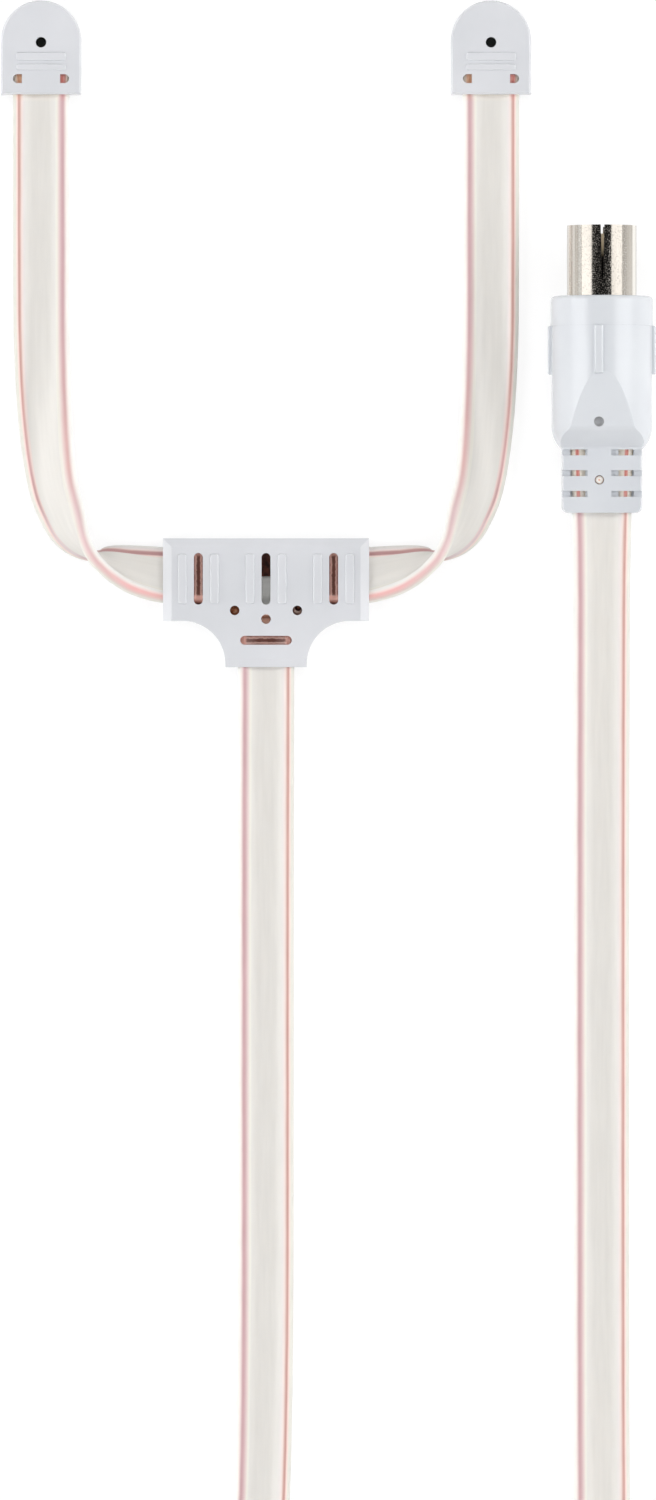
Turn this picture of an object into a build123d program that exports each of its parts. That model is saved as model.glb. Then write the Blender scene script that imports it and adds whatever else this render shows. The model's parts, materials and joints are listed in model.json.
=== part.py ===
from build123d import *
from math import ceil, cos, degrees, radians, sin, tan
import os

# FM indoor antenna: a T-shaped folded dipole of flat twin-lead ribbon, with an overmoulded
# junction block, two nail-up end caps and a feeder that ends in a coaxial socket.
# Millimetres, +Z up. It lies flat on a table. The origin is under the middle of the junction
# block, and +Y points from the block to the end caps.

# Twin-lead ribbon: a flat web between two beads, each with one conductor
ribbon_width = 8.6
bead_width = 2.1
bead_height = 1.5
web_thickness = 0.9
conductor_diameter = 0.7

# Junction block: a cross bar over a stem, with a concave quarter round in each throat
block_width = 31.2
block_length = 19.5
bar_length = 12.5
stem_width = 12.3
block_thickness = 4.0
stem_tip_length = 0.5
block_bevel_width = 1.3
block_bevel_depth = 0.5
underside_bevel = 0.3
dipole_y = 4.1

# Slots, ribs and round openings in the face of the block
slot_pitch = 10.24
slot_y = 3.6
slot_length = 7.8
slot_width = 1.35
rib_offset = 2.43
rib_length = 7.6
rib_width = 1.36
rib_height = 0.3
rib_corner_radius = 0.4
rib_edge_radius = 0.2
stem_slot_y = -5.7
joint_x = 4.74
joint_y = -1.18
joint_opening_diameter = 1.44
feeder_opening_y = -2.5
notch_length = 12.0
notch_top_y = 4.0
notch_floor_z = 2.6

# Bare conductors and solder joints in the block
solder_diameter = 1.9
tail_bend_radius = 0.8
tail_stop = 0.4
feeder_end_y = -2.3

# End caps: a plate with a full round end, a nail hole, two low ribs and two D-shaped windows
cap_x = 34.05
cap_width = 12.1
cap_bottom_y = 76.95
cap_length = 14.2
cap_thickness = 3.8
cap_bevel = 0.3
nail_hole_diameter = 1.6
nail_hole_drop = 0.3
cap_rib_length = 7.6
cap_rib_widths = (1.25, 0.95)
cap_rib_ys = (82.65, 81.05)
cap_window_size = 1.36
cap_window_y = 79.3
cap_window_x = 3.56
arm_end_y = 81.4
link_rise = 1.2
link_bend_radius = 0.9

# Plug: a round grip that flattens towards the strain relief
plug_x = 50.72
plug_front_y = 46.2
collar_diameter = 15.5
collar_length = 4.5
collar_edge_radius = 0.7
grip_diameter = 15.2
grip_end_y = 26.65
shoulder_length = 3.55
strain_width = 12.2
strain_thickness = 3.6
strain_end_y = 13.5
strain_end_radius = 0.9
flat_start_y = 34.95
flat_slope = 0.2
knee_y = 26.1
knee_radius = 1.5
strain_start_y = 23.4
strain_start_radius = 0.8
grip_rib_width = 1.3
grip_rib_height = 0.55
grip_rib_edge_radius = 0.25
grip_rib_roll = -4.5
grip_rib_end_y = 34.4
dimple_diameter = 1.5
dimple_depth = 0.9
dimple_x = -0.55
dimple_y = 27.15
strain_slot_pitch = 3.13
strain_slot_count = 3
strain_slot_width = 0.9
strain_slot_first_y = 22.6
strain_slot_inner_x = 1.8
strain_slot_depth = 0.75
strain_window_x = 3.65
strain_window_width = 2.3
strain_window_floor = 0.35
strain_hole_diameter = 1.4
strain_hole_y = 18.45
strain_shift = -0.4

# Coaxial socket: slit sleeve, insulator and centre contact
sleeve_diameter = 10.5
sleeve_wall = 0.45
sleeve_reach = 10.65
sleeve_embedded = 9.6
slit_mouth = 0.56
slit_root = 0.2
slit_length = 8.0
insulator_disc_length = 7.0
insulator_boss_diameter = 6.2
insulator_boss_recess = 1.3
contact_diameter = 3.6
contact_bore = 2.4
contact_bore_depth = 12.0
contact_recess = 0.4
contact_length = 24.0
plug_solder_diameter = 2.0
solder_offset = 0.65
plug_tail_bend_radius = 1.0
lead_end_y = 24.85
lead_spread = 1.1

# Feeder coil: the ribbon stands on edge and winds inwards. A wire tie gathers its turns at one side,
# so the innermost turn lies off centre, towards the tie.
coil_x = 33.12
coil_y = -205.0
coil_outer_radius = 49.0
coil_inner_radius = 37.4
coil_gather = 4.6
coil_lift = 0.5
entry_stub_length = 14.0
exit_angle = 225.0
exit_step = 28.0
tie_angle = -35.0
tie_width = 3.0
tie_thickness = 0.4
tie_clearance = 0.1
tie_corner_radius = 0.25
tie_tail_length = 11.0
tie_tail_diameter = 1.7

# Sizes that follow from those above
bead_radius = bead_height / 2
conductor_x = (ribbon_width - bead_width) / 2
block_top_y = block_length / 2
bar_bottom_y = block_top_y - bar_length
stem_length = block_length - bar_length
throat_radius = stem_length - stem_tip_length
ribbon_z = block_thickness / 2
cap_z = cap_thickness / 2
cap_round_y = cap_bottom_y + cap_length - cap_width / 2
nail_hole_y = cap_round_y - nail_hole_drop
grip_radius = grip_diameter / 2
plug_z = grip_radius + grip_rib_height
sleeve_bore = sleeve_diameter - 2 * sleeve_wall
sleeve_back_y = plug_front_y - sleeve_embedded
mouth_y = plug_front_y + sleeve_reach
contact_front_y = mouth_y - insulator_boss_recess - contact_recess
contact_back_y = contact_front_y - contact_length
inner_x = coil_x + coil_gather * cos(radians(tie_angle))
inner_y = coil_y + coil_gather * sin(radians(tie_angle))
coil_z = coil_lift + ribbon_width / 2
entry_x = coil_x - coil_outer_radius
exit_radius = (plug_x - inner_x + coil_inner_radius) / 2
exit_x = plug_x - exit_radius

# How finely a ribbon follows its path, and the share of a run that one arc takes
arc_share = 0.45
station_length = 12.0
station_turn = 10.0


def section(spread=0.0):
    """The ribbon's section in its own plane: a web and two beads, spread a little apart."""
    centre = conductor_x + spread / 2
    bead = Ellipse(bead_width / 2, bead_height / 2)
    return Rectangle(2 * centre, web_thickness) + Pos(-centre) * bead + Pos(centre) * bead


def corner_radii(points):
    """The largest arc that each corner's two runs allow."""
    radii = []
    for before, corner, after in zip(points, points[1:], points[2:]):
        turn = radians((corner - before).get_angle(after - corner))
        run = min((corner - before).length, (after - corner).length)
        radii.append(arc_share * run / tan(turn / 2))
    return radii


def between(marks, values, place):
    """The value at a place along the path, straight between its neighbours."""
    for start, end, low, high in zip(marks, marks[1:], values, values[1:]):
        if place <= end:
            return low + (high - low) * (place - start) / (end - start)
    return values[-1]


def ribbon(name, route):
    """A ribbon along straight runs and tangent arcs. Each route point is x, y, z, the tilt of
    the ribbon's width out of the level, and how far the two conductors are spread apart."""
    points = [Vector(*row[:3]) for row in route]
    tilts = [row[3] for row in route]
    spreads = [row[4] for row in route]
    radii = corner_radii(points)
    path = FilletPolyline(*points, radius=radii)
    marks = [0.0]
    places = [0.0]
    reached = 0.0
    for edge in path.edges():
        steps = ceil(edge.length / station_length)
        if edge.geom_type == GeomType.CIRCLE:
            marks.append(reached + edge.length / 2)
            steps = ceil(degrees(edge.length / edge.radius) / station_turn)
        places += [reached + edge.length * (step + 1) / steps for step in range(steps)]
        reached += edge.length
    marks.append(reached)
    outlines = []
    for place in places:
        along = path.tangent_at(place / reached)
        level = Vector(0, 0, 1).cross(along).normalized()
        tilt = radians(between(marks, tilts, place))
        across = level * cos(tilt) + along.cross(level) * sin(tilt)
        plane = Plane(path.position_at(place / reached), x_dir=across, z_dir=along)
        outlines.append((plane * section(between(marks, spreads, place))).face().outer_wire())
    solid = Solid.make_loft(outlines, ruled=True)
    share = solid.volume / (section().area * reached)
    print(name, "is", round(reached, 1), "mm long, radii", [round(radius, 1) for radius in radii])
    print(name, "volume over section times length", round(share, 4))
    return solid


def wire(points, bend_radius):
    """A bare conductor along a polyline with rounded bends."""
    path = FilletPolyline(*points, radius=bend_radius)
    return sweep(Plane(path @ 0, z_dir=path % 0) * Circle(conductor_diameter / 2), path=path)


def low_rib(length, width):
    """A low rounded rib along Y that stands on the level z = 0."""
    rib = extrude(RectangleRounded(width, length, rib_corner_radius), rib_height)
    return fillet(rib.faces().sort_by(Axis.Z)[-1].edges(), rib_edge_radius)


def outer_edges(face):
    """The edges of a level face that lie on its four outermost sides."""
    edges = face.edges()
    return [edge for axis in (Axis.X, Axis.Y) for group in (0, -1)
            for edge in edges.group_by(axis)[group]]


def bevelled_plate(outline, thickness, width, depth, underside):
    """A plate with a wide bevel along its outer sides and a small one underneath."""
    plate = extrude(outline, thickness)
    face = plate.faces().sort_by(Axis.Z)[-1]
    plate = chamfer(outer_edges(face), width, depth, reference=face)
    return chamfer(outer_edges(plate.faces().sort_by(Axis.Z)[0]), underside)


def upright(outline, floor_z, ceiling_z):
    """An outline raised from one level to another."""
    return Pos(0, 0, floor_z) * extrude(outline, ceiling_z - floor_z)


def plug_cylinder(diameter, back_y, front_y):
    """A round bar on the plug's axis."""
    start = Plane((plug_x, back_y, plug_z), z_dir=(0, 1, 0))
    return extrude(start * Circle(diameter / 2), front_y - back_y)


# Ribbon routes: x, y, z, tilt and spread of each point
left_arm = [
    (-cap_x, arm_end_y, cap_z, 0, 0),
    (-cap_x, 69.0, cap_z, 0, 0),
    (-34.05, 53.0, 1.2, 0, 0),
    (-34.0, 39.0, 1.2, -4, 0),
    (-33.5, 27.5, 2.0, -17, 0),
    (-32.5, 18.5, 2.9, -30, 0),
    (-31.3, 14.6, 3.3, -34, 0),
    (-29.6, 10.4, 3.9, -47, 0),
    (-26.9, 7.3, 4.5, -90, 0),
    (-24.6, 5.8, 4.1, -124, 0),
    (-21.6, 5.0, 3.2, -146, 0),
    (-18.3, 4.5, 2.6, -160, 0),
    (-15.4, 4.15, 2.1, -177, 0),
    (-12.0, dipole_y, ribbon_z, -180, 0),
]
right_arm = [(-x, y, z, -360 - tilt, spread) for x, y, z, tilt, spread in reversed(left_arm)]

feeder_route = [
    (0, feeder_end_y, ribbon_z, 0, 0),
    (0, -17.0, ribbon_z, 0, 0),
    (0, -40.0, 0.8, 0, 0),
    (0, -140.0, 0.8, 0, 0),
    (-2.8, -155.0, 2.0, 18, 0),
    (-10.2, -167.0, 3.9, 55, 0),
    (entry_x, -179.0, coil_z, 85, 0),
    (entry_x, coil_y + entry_stub_length, coil_z, 90, 0),
]


def exit_point(angle, z, tilt):
    """A point on the round that leads the inner end of the coil back towards the plug."""
    turn = radians(angle)
    return (exit_x + exit_radius * cos(turn), inner_y + exit_radius * sin(turn), z, tilt, 0)


plug_route = [
    exit_point(exit_angle, coil_z, 90),
    exit_point(exit_angle + exit_step, coil_z, 90),
    exit_point(exit_angle + 2 * exit_step, coil_z, 90),
    exit_point(exit_angle + 3 * exit_step, 5.1, 90),
    exit_point(exit_angle + 4 * exit_step, 6.2, 72),
    (plug_x - 0.3, -204.0, 8.6, 45, 0),
    (plug_x, -189.0, 10.8, 12, 0),
    (plug_x, -175.5, 11.7, 0, 0),
    (plug_x, -157.0, 11.6, 0, 0),
    (plug_x, -139.0, 7.4, 0, 0),
    (plug_x, -119.0, 0.8, 0, 0),
    (plug_x, -38.0, 0.8, 0, 0),
    (plug_x, -8.0, 5.4, 0, 0),
    (plug_x, 8.0, plug_z, 0, 0),
    (plug_x, lead_end_y, plug_z, 0, lead_spread),
]

# Ribbons. The dipole's lower conductor is cut away in the middle of the block.
notch = Pos(0, notch_top_y) * Box(notch_length, ribbon_width, 2 * block_thickness,
                                  align=(Align.CENTER, Align.MAX, Align.CENTER))
dipole_ribbon = ribbon("dipole_ribbon", left_arm + right_arm) - notch
feeder_ribbon = ribbon("feeder_ribbon", feeder_route)
plug_lead = ribbon("plug_lead", plug_route)

# Bare tails of the cut conductor and of the feeder, soldered together under the round openings
parts = {}
joints = []
for side, word in ((-1, "left"), (1, "right")):
    cut_end = (side * notch_length / 2, dipole_y - conductor_x, ribbon_z)
    over_joint = (side * joint_x, dipole_y - conductor_x, ribbon_z)
    dipole_tail = wire([cut_end, over_joint, (side * joint_x, joint_y + tail_stop, ribbon_z)],
                       tail_bend_radius)
    feeder_end = (side * conductor_x, feeder_end_y, ribbon_z)
    beside_joint = (side * conductor_x, joint_y, ribbon_z)
    feeder_tail = wire([feeder_end, beside_joint, (side * (joint_x - tail_stop), joint_y, ribbon_z)],
                       tail_bend_radius)
    solder = Pos(side * joint_x, joint_y, ribbon_z) * Sphere(solder_diameter / 2)
    parts[f"dipole_tail_{word}"] = dipole_tail
    parts[f"feeder_tail_{word}"] = feeder_tail
    parts[f"junction_solder_{word}"] = solder - dipole_tail - feeder_tail
    joints += [dipole_tail, feeder_tail, solder]

# Junction block, moulded round all of them
bar = Pos(0, block_top_y - bar_length / 2) * Rectangle(block_width, bar_length)
stem = Pos(0, bar_bottom_y - stem_length / 2) * Rectangle(stem_width, stem_length)
block_outline = bar + stem
for side in (-1, 1):
    centre_x = side * (stem_width / 2 + throat_radius)
    corner = Pos(centre_x - side * throat_radius / 2, bar_bottom_y - throat_radius / 2)
    block_outline += (corner * Rectangle(throat_radius, throat_radius)
                      - Pos(centre_x, bar_bottom_y - throat_radius) * Circle(throat_radius))
junction_block = bevelled_plate(block_outline, block_thickness, block_bevel_width,
                                block_bevel_depth, underside_bevel)
slot = SlotOverall(slot_length, slot_width, rotation=90)
for place in (-slot_pitch, 0, slot_pitch):
    for side in (-rib_offset, rib_offset):
        junction_block += Pos(place + side, slot_y, block_thickness) * low_rib(rib_length, rib_width)
    junction_block -= Pos(place, slot_y) * upright(slot, ribbon_z, block_thickness)
below_notch = Pos(0, notch_top_y - slot_length / 2) * Rectangle(slot_width, slot_length)
junction_block -= upright((Pos(0, slot_y) * slot) & below_notch, notch_floor_z, block_thickness)
stem_slot = Pos(0, stem_slot_y) * SlotOverall(slot_length, slot_width)
junction_block -= upright(stem_slot, ribbon_z, block_thickness)
round_opening = Circle(joint_opening_diameter / 2)
for x, y in ((-joint_x, joint_y), (joint_x, joint_y), (0, feeder_opening_y)):
    junction_block -= Pos(x, y) * upright(round_opening, ribbon_z, block_thickness)
for inner in [dipole_ribbon, feeder_ribbon] + joints:
    junction_block -= inner

# End caps, each moulded round the end of an arm and the link between its two conductors
for side, word in ((-1, "left"), (1, "right")):
    centre_x = side * cap_x
    straight = cap_length - cap_width / 2
    cap_outline = (Pos(centre_x, cap_bottom_y + straight / 2) * Rectangle(cap_width, straight)
                   + Pos(centre_x, cap_round_y) * Circle(cap_width / 2))
    cap = bevelled_plate(cap_outline, cap_thickness, cap_bevel, cap_bevel, underside_bevel)
    for y, width in zip(cap_rib_ys, cap_rib_widths):
        cap += Pos(centre_x, y, cap_thickness) * Rot(0, 0, 90) * low_rib(cap_rib_length, width)
    cap -= Pos(centre_x, nail_hole_y) * upright(Circle(nail_hole_diameter / 2), 0, cap_thickness)
    window = (Circle(cap_window_size / 2)
              + Pos(-cap_window_size / 4) * Rectangle(cap_window_size / 2, cap_window_size))
    for turn in (0, 180):
        turned = Pos(centre_x, cap_window_y) * Rot(0, 0, turn) * Pos(cap_window_x) * window
        cap -= upright(turned, cap_z, cap_thickness)
    left_x = centre_x - conductor_x
    right_x = centre_x + conductor_x
    link_y = arm_end_y + link_rise
    link = wire([(left_x, arm_end_y, cap_z), (left_x, link_y, cap_z), (right_x, link_y, cap_z),
                 (right_x, arm_end_y, cap_z)], link_bend_radius)
    parts[f"end_link_{word}"] = link
    parts[f"end_cap_{word}"] = cap - dipole_ribbon - link

# Coaxial socket
slit = Polygon((-slit_root / 2, mouth_y - slit_length), (slit_root / 2, mouth_y - slit_length),
               (slit_mouth / 2, mouth_y), (-slit_mouth / 2, mouth_y), align=None)
plug_sleeve = (plug_cylinder(sleeve_diameter, sleeve_back_y, mouth_y)
               - plug_cylinder(sleeve_bore, sleeve_back_y, mouth_y)
               - Pos(plug_x, 0, 0) * upright(slit, 0, 2 * plug_z))
disc_front_y = sleeve_back_y + insulator_disc_length
boss_front_y = mouth_y - insulator_boss_recess
plug_insulator = (plug_cylinder(sleeve_bore, sleeve_back_y, disc_front_y)
                  + plug_cylinder(insulator_boss_diameter, disc_front_y, boss_front_y)
                  - plug_cylinder(contact_diameter, sleeve_back_y, contact_front_y)
                  - plug_cylinder(contact_bore, contact_front_y, boss_front_y))
plug_contact = (plug_cylinder(contact_diameter, contact_back_y, contact_front_y)
                - plug_cylinder(contact_bore, contact_front_y - contact_bore_depth, contact_front_y))

# Bare conductors in the plug: one to the rim of the sleeve, one to the back of the contact
lead_x = conductor_x + lead_spread / 2
rim_x = (sleeve_diameter + sleeve_bore) / 4
solder_radius = plug_solder_diameter / 2
sleeve_joint = Vector(plug_x - rim_x, sleeve_back_y - solder_offset, plug_z)
core_joint = Vector(plug_x, contact_back_y - solder_offset, plug_z)
plug_sleeve_tail = wire([(plug_x - lead_x, lead_end_y, plug_z),
                         (plug_x - lead_x, (lead_end_y + sleeve_joint.Y) / 2, plug_z),
                         sleeve_joint], plug_tail_bend_radius)
plug_core_tail = wire([(plug_x + lead_x, lead_end_y, plug_z),
                       (plug_x + lead_x, (lead_end_y + core_joint.Y) / 2, plug_z),
                       core_joint], plug_tail_bend_radius)
plug_sleeve_solder = (Pos(sleeve_joint) * Sphere(solder_radius)
                      - plug_sleeve_tail - plug_sleeve - plug_insulator)
plug_core_solder = Pos(core_joint) * Sphere(solder_radius) - plug_core_tail - plug_contact

# Grip and strain relief in one moulding
collar_radius = collar_diameter / 2
strain_radius = strain_width / 2
collar_back_y = plug_front_y - collar_length
shoulder_end = (strain_radius, grip_end_y - shoulder_length)
profile = Wire([
    Line((0, plug_front_y), (collar_radius - collar_edge_radius, plug_front_y)),
    TangentArc((collar_radius - collar_edge_radius, plug_front_y),
               (collar_radius, plug_front_y - collar_edge_radius), tangent=(1, 0)),
    Line((collar_radius, plug_front_y - collar_edge_radius), (collar_radius, collar_back_y)),
    Line((collar_radius, collar_back_y), (grip_radius, collar_back_y)),
    Line((grip_radius, collar_back_y), (grip_radius, grip_end_y)),
    TangentArc((grip_radius, grip_end_y), shoulder_end, tangent=(0, -1)),
    Line(shoulder_end, (strain_radius, strain_end_y + strain_end_radius)),
    TangentArc((strain_radius, strain_end_y + strain_end_radius),
               (strain_radius - strain_end_radius, strain_end_y), tangent=(0, -1)),
    Line((strain_radius - strain_end_radius, strain_end_y), (0, strain_end_y)),
    Line((0, strain_end_y), (0, plug_front_y)),
])
turned_grip = Pos(plug_x, 0, plug_z) * revolve(make_face(profile), Axis.Y)
strain_top = strain_thickness / 2
knee_top = grip_radius - flat_slope * (flat_start_y - knee_y)
front_top = grip_radius + flat_slope * (mouth_y - flat_start_y)
upper_side = [(0, strain_top), (strain_start_y, strain_top), (knee_y, knee_top), (mouth_y, front_top)]
lower_side = [(y, -height) for y, height in reversed(upper_side)]
side_view = Polygon(*upper_side, *lower_side, align=None)
for y, radius in ((strain_start_y, strain_start_radius), (knee_y, knee_radius)):
    side_view = fillet(side_view.vertices().filter_by_position(Axis.X, y - 0.01, y + 0.01), radius)
wedge = Pos(plug_x, 0, plug_z) * extrude(Plane.YZ * side_view, grip_diameter, both=True)
plug_body = turned_grip & wedge
grip_rib_length = collar_back_y - grip_rib_end_y
for turn in range(0, 360, 90):
    rib = Box(grip_rib_width, grip_rib_length, grip_radius + grip_rib_height,
              align=(Align.CENTER, Align.MIN, Align.MIN))
    rib = fillet(rib.faces().sort_by(Axis.Z)[-1].edges(), grip_rib_edge_radius)
    plug_body += Pos(plug_x, grip_rib_end_y, plug_z) * Rot(0, turn + grip_rib_roll, 0) * rib
dimple_top_z = plug_z + grip_radius
dimple_floor_z = dimple_top_z - flat_slope * (flat_start_y - dimple_y) - dimple_depth
plug_body -= Pos(plug_x + dimple_x, dimple_y) * upright(Circle(dimple_diameter / 2), dimple_floor_z,
                                                        dimple_top_z)
pocket = Box(strain_radius, strain_slot_width, grip_radius,
             align=(Align.MIN, Align.CENTER, Align.MIN))
bead_window = Box(strain_window_width, strain_slot_width, strain_top,
                  align=(Align.CENTER, Align.CENTER, Align.MIN))
for number in range(strain_slot_count):
    y = strain_slot_first_y - number * strain_slot_pitch
    for across in (0, 180):
        for over in (0, 180):
            turned = Rot(0, 0, across) * Rot(over, 0, 0)
            slot_place = Pos(plug_x + strain_shift, y, plug_z) * turned
            plug_body -= slot_place * Pos(strain_slot_inner_x, 0, strain_top - strain_slot_depth) * pocket
            window_place = Pos(plug_x, y, plug_z) * turned
            plug_body -= window_place * Pos(strain_window_x, 0, strain_window_floor) * bead_window
strain_hole = upright(Circle(strain_hole_diameter / 2), plug_z, plug_z + grip_radius)
plug_body -= Pos(plug_x + strain_shift, strain_hole_y) * strain_hole
plug_body -= plug_cylinder(sleeve_diameter, sleeve_back_y, mouth_y)
for inner in (plug_contact, plug_lead, plug_sleeve_tail, plug_core_tail, plug_sleeve_solder,
              plug_core_solder):
    plug_body -= inner

# Coil of the rest of the feeder, with the stubs where its two ends join
coil_plan = (Pos(coil_x, coil_y) * Circle(coil_outer_radius + bead_radius)
             - Pos(inner_x, inner_y) * Circle(coil_inner_radius - bead_radius))
coil_plan += Pos(entry_x, coil_y + entry_stub_length / 2) * Rectangle(bead_height, entry_stub_length)
exit_band = (Pos(exit_x, inner_y) * Circle(exit_radius + bead_radius)
             - Pos(exit_x, inner_y) * Circle(exit_radius - bead_radius))
stub_end = Vector(*exit_point(exit_angle, 0, 0)[:2])
across_end = Vector(ribbon_width, 0).rotate(Axis.Z, exit_angle + exit_step / 2)
stub_area = Polygon(stub_end + across_end, stub_end - across_end, (exit_x, inner_y),
                    (exit_x - 2 * exit_radius, inner_y), align=None)
coil_plan += exit_band & stub_area
feeder_coil = upright(coil_plan, coil_lift, coil_lift + ribbon_width)

# Wire tie: a flat loop round the turns, with a twisted tail that lies on the table
gathered_radius = coil_inner_radius + coil_gather
turns_width = coil_outer_radius - gathered_radius + bead_height
loop_width = turns_width + 2 * tie_clearance
loop_height = ribbon_width + 2 * tie_clearance
outer_radius = tie_corner_radius + tie_thickness
loop = (RectangleRounded(loop_width + 2 * tie_thickness, loop_height + 2 * tie_thickness, outer_radius)
        - RectangleRounded(loop_width, loop_height, tie_corner_radius))
loop_x = (coil_outer_radius + gathered_radius) / 2
loop_side_x = loop_x + loop_width / 2 + tie_thickness
tie = Pos(loop_x, 0, coil_z) * extrude(Plane.XZ * loop, tie_width / 2, both=True)
tail_start = Plane((loop_side_x - tie_thickness / 2, 0, tie_tail_diameter / 2), z_dir=(1, 0, 0))
tie += extrude(tail_start * Circle(tie_tail_diameter / 2), tie_tail_length)
coil_tie = Pos(coil_x, coil_y) * Rot(0, 0, tie_angle) * tie

parts.update({
    "junction_block": junction_block,
    "dipole_ribbon": dipole_ribbon,
    "feeder_ribbon": feeder_ribbon,
    "feeder_coil": feeder_coil,
    "coil_tie": coil_tie,
    "plug_lead": plug_lead,
    "plug_body": plug_body,
    "plug_sleeve": plug_sleeve,
    "plug_insulator": plug_insulator,
    "plug_contact": plug_contact,
    "plug_sleeve_tail": plug_sleeve_tail,
    "plug_core_tail": plug_core_tail,
    "plug_sleeve_solder": plug_sleeve_solder,
    "plug_core_solder": plug_core_solder,
})
os.makedirs("parts", exist_ok=True)
for name, solid in parts.items():
    export_step(solid, f"parts/{name}.step")
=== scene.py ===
import json
from math import atan2, cos, pi, radians, sin

import bpy
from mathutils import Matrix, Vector


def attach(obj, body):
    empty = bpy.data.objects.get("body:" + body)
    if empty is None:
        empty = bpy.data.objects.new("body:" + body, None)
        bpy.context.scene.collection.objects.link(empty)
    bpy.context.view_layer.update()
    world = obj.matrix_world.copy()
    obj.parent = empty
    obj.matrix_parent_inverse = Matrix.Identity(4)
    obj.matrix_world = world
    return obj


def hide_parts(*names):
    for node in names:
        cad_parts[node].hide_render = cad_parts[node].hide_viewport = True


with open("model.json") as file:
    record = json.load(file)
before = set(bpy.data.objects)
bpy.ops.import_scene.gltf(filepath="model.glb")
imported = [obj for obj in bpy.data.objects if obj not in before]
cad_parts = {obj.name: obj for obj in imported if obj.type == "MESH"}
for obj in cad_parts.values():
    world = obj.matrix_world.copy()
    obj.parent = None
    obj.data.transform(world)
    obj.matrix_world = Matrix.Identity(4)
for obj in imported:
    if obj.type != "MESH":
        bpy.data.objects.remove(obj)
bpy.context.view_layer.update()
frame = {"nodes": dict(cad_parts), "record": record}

# An FM indoor antenna of flat twin-lead ribbon, lying on a white table and seen from straight above.
# Metres, in the frame of the solid parts: the origin lies under the middle of the junction block, and
# +Y points from the block to the two end caps.

# The photograph's frame on the table
PHOTO_HEIGHT = 0.22695
PHOTO_CENTRE = (0.00938, -0.0223)
CAMERA_HEIGHT = 2.0
SHARP_LEVEL = 0.004
SENSOR = 36.0

# The ribbon's section: a thin web with a bead along each edge
RIBBON_WIDTH = 0.0086
BEAD_WIDTH = 0.0021
BEAD_HEIGHT = 0.0021
WEB_THICKNESS = 0.0009
HALF_RIBBON = RIBBON_WIDTH / 2
BEAD_CENTRE = (RIBBON_WIDTH - BEAD_WIDTH) / 2
BEAD_POINTS = 15
BEAD_STEP = 20
HALVED_AT = -0.0001

# How the conductors show: their tints change along this length, a bead that turns too far towards the
# web hides its conductor, a wound ribbon steeper than this shows its faces from the side, and the lines
# wander by this share of the width
ARM_RUN = 0.1
FACING_LIMIT = radians(128)
STEEP = cos(pi / 4)
LINE_WANDER = 0.012

# Where the mouldings cover the ribbon
BLOCK_REACH = 0.0125
BLOCK_BOTTOM_Y, BLOCK_TOP_Y = -0.0075, 0.0095
CAP_BOTTOM_Y = 0.0782
PLUG_SIDE_X, PLUG_BACK_Y = 0.04, 0.0152

# The plug: its middle line, its sleeve, and where the black shade painted on the root of its core ends
PLUG_X = 0.05072
PLUG_Z = 0.00815
SLEEVE_RADIUS = 0.00525
CORE_SHADE_TO_Y = 0.0520
CORE_FADE = 0.0014

# The coil that puts the feeder's hidden length away: its turns are gathered where the tie holds them
COIL_CENTRE = Vector((0.03312, -0.205, 0.0048))
COIL_OUTER_RADIUS = 0.049
COIL_INNER_RADIUS = 0.0374
COIL_GATHER = 0.0030
COIL_TURNS = 4
COIL_TURN_POINTS = 14
COIL_TOP_Y = -0.19
TIE_ANGLE = -35.0
TIE_REACH = 0.03
TIE_CLEARANCE = 0.0001
TIE_THICKNESS = 0.0004
TIE_WIDTH = 0.0030
TIE_BEND = 0.0006
TIE_TAIL_LENGTH = 0.0110
TIE_TAIL_WIDTH = 0.0017
TIE_TAIL_THICKNESS = 0.0008
TIE_TAIL_LEVEL = 0.0009
TIE_TWISTS = 20
TIE_TWIST = radians(36)
INNER_CENTRE = COIL_CENTRE + COIL_GATHER * Vector((cos(radians(TIE_ANGLE)), sin(radians(TIE_ANGLE)), 0))
EXIT_RADIUS = (PLUG_X - INNER_CENTRE.x + COIL_INNER_RADIUS) / 2
EXIT_CENTRE = Vector((PLUG_X - EXIT_RADIUS, INNER_CENTRE.y, COIL_CENTRE.z))

# The coil's inner end on its way back to the plug: angle on its round, level and tilt in degrees
EXIT_LIFTS = (
    (197, 0.0048, 90),
    (225, 0.0048, 90),
    (253, 0.0048, 90),
    (281, 0.0048, 90),
    (309, 0.0051, 90),
    (337, 0.0062, 72),
)

# Openings in the mouldings: their middles in plan, the radii of the marks in them, and the bounds of
# their walls that are painted with shade
NAIL_HOLE = (0.03405, 0.0848)
NAIL_HOLE_MARK = 0.0009
NAIL_HOLE_DARK_LEVEL = 0.0016
DIMPLE = (0.05017, 0.02715)
DIMPLE_MARK = 0.00078
DIMPLE_RIM_LEVEL = 0.0140
CENTRE_HOLE = (0.0, -0.0025)
CENTRE_HOLE_MARK = 0.0009
BELOW_FACE = (0.0005, 0.0038)
SIDE_SLOT_X = 0.01024
STEM_SLOT_Y = -0.0057
SLOT_SHADE_WIDTH = 0.002
SLOT_SHADE_RAGGED = 0.0004
BROWN_BAR_X, BROWN_BAR_Y = (0.0039, 0.0120), (-0.0022, 0.0082)
BROWN_STEM_REACH, BROWN_STEM_Y = 0.0057, (-0.0068, -0.0044)
MIDDLE_SLOT_REACH = 0.0010
DARK_SHADE_SLOT_Y = (0.0040, 0.0082)
GREY_SHADE_SLOT_Y = (-0.0006, 0.0040)
CAPS_ABOVE_Y = 0.06
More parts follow.
